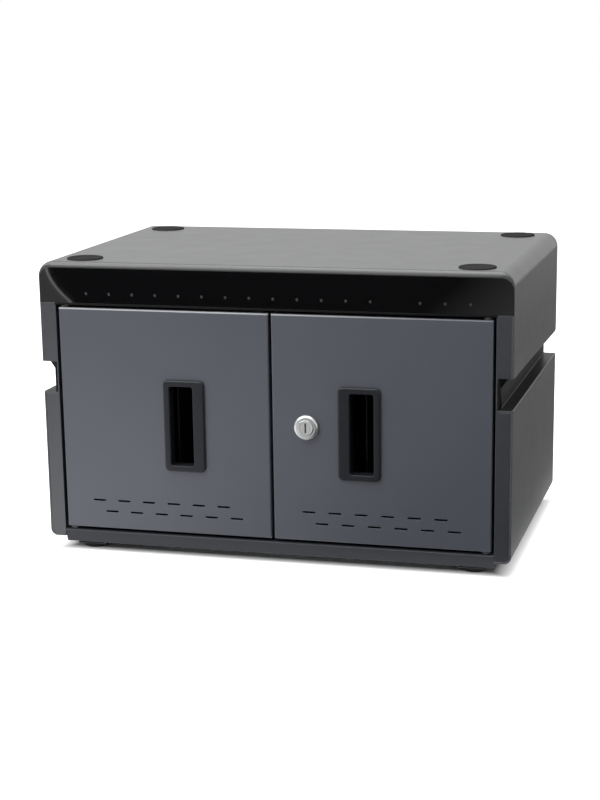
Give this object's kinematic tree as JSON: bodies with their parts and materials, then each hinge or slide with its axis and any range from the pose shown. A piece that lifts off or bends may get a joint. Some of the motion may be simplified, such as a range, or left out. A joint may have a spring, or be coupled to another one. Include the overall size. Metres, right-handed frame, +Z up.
{
  "type": "desktop charging locker",
  "caption": "Low two-door lockable cabinet that stores and charges phones and tablets in upright slots, with side grip channels.",
  "frame": {"origin": "centre of the object's outline on the surface it stands on", "axes": "+X to the right seen from the front, the doors face -Y, +Z up"},
  "size_m": [0.54, 0.353, 0.3395],
  "materials": {
    "shell_plastic": "fine satin texture",
    "bezel_gloss": "polished black",
    "door_steel": "satin powder coat",
    "panel_steel": "fine powder coat",
    "handle_plastic": "satin moulded",
    "lock_metal": "satin nickel",
    "zinc_steel": "zinc plated",
    "rubber": "matt",
    "light_window": "frosted",
    "circuit_board": "solder mask",
    "black_plastic": "moulded",
    "magnet": "moulded",
    "contact_metal": "nickel",
    "rocker_plastic": "gloss",
    "nylon": "moulded"
  },
  "bodies": {
    "cabinet": {"upper_shell": "shell_plastic", "lower_side_left": "shell_plastic", "lower_side_right": "shell_plastic", "front_frame": "shell_plastic", "front_bezel": "bezel_gloss", "led_lenses": "light_window", "led_board": "circuit_board", "front_sill": "door_steel", "base_plate": "zinc_steel", "base_rails": "zinc_steel", "rubber_feet": "rubber", "stacking_pads": "rubber", "rear_panel": "panel_steel", "rear_screws": "zinc_steel", "bay_bulkhead": "zinc_steel", "bay_ceiling": "zinc_steel", "centre_partition": "zinc_steel", "lock_strike": "zinc_steel", "magnet_catches": "magnet", "slot_tray_left": "black_plastic", "slot_tray_right": "black_plastic", "dividers_left": "black_plastic", "dividers_right": "black_plastic", "usb_hub_left": "black_plastic", "usb_hub_right": "black_plastic", "hub_ports_left": "contact_metal", "hub_ports_right": "contact_metal", "bulkhead_grommets": "rubber", "power_supply": "zinc_steel", "fan_frames": "black_plastic", "power_inlet": "black_plastic", "inlet_pins": "contact_metal", "power_switch_frame": "black_plastic", "hinge_pins": "lock_metal"},
    "left_door": {"left_door": "door_steel", "left_handle_frame": "handle_plastic", "hinge_bushes_left": "nylon", "bolt_guides": "zinc_steel"},
    "right_door": {"right_door": "door_steel", "right_handle_frame": "handle_plastic", "hinge_bushes_right": "nylon", "lock_body": "lock_metal", "lock_nut": "zinc_steel"},
    "left_bolt": {"left_bolt": "lock_metal"},
    "lock_core": {"lock_plug": "lock_metal", "lock_cam": "zinc_steel", "cam_screw": "lock_metal"},
    "rocker": {"power_rocker": "rocker_plastic"},
    "fan_left": {"fan_rotor_left": "black_plastic"},
    "fan_right": {"fan_rotor_right": "black_plastic"}
  },
  "joints": [
    {"name": "left_door_hinge", "type": "hinge", "parent": "cabinet", "child": "left_door", "pos_m": [-0.2415, -0.16417, 0.16], "axis": [0, 0, -1], "range_deg": [0, 105]},
    {"name": "right_door_hinge", "type": "hinge", "parent": "cabinet", "child": "right_door", "pos_m": [0.2415, -0.16417, 0.16], "axis": [0, 0, 1], "range_deg": [0, 105]},
    {"name": "lock_turn", "type": "hinge", "parent": "right_door", "child": "lock_core", "pos_m": [0.041, -0.17067, 0.1605], "axis": [0, 1, 0], "range_deg": [0, 90]},
    {"name": "left_bolt_slide", "type": "slide", "parent": "left_door", "child": "left_bolt", "axis": [0, 0, 1], "range_m": [0, 0.012]},
    {"name": "power_rock", "type": "hinge", "parent": "cabinet", "child": "rocker", "pos_m": [0.205, 0.17233, 0.104], "axis": [1, 0, 0], "range_deg": [0, 18]},
    {"name": "fan_left_spin", "type": "hinge", "parent": "cabinet", "child": "fan_left", "pos_m": [-0.13, 0.15833, 0.196], "axis": [0, 1, 0], "continuous": true},
    {"name": "fan_right_spin", "type": "hinge", "parent": "cabinet", "child": "fan_right", "pos_m": [0.13, 0.15833, 0.196], "axis": [0, 1, 0], "continuous": true}
  ]
}
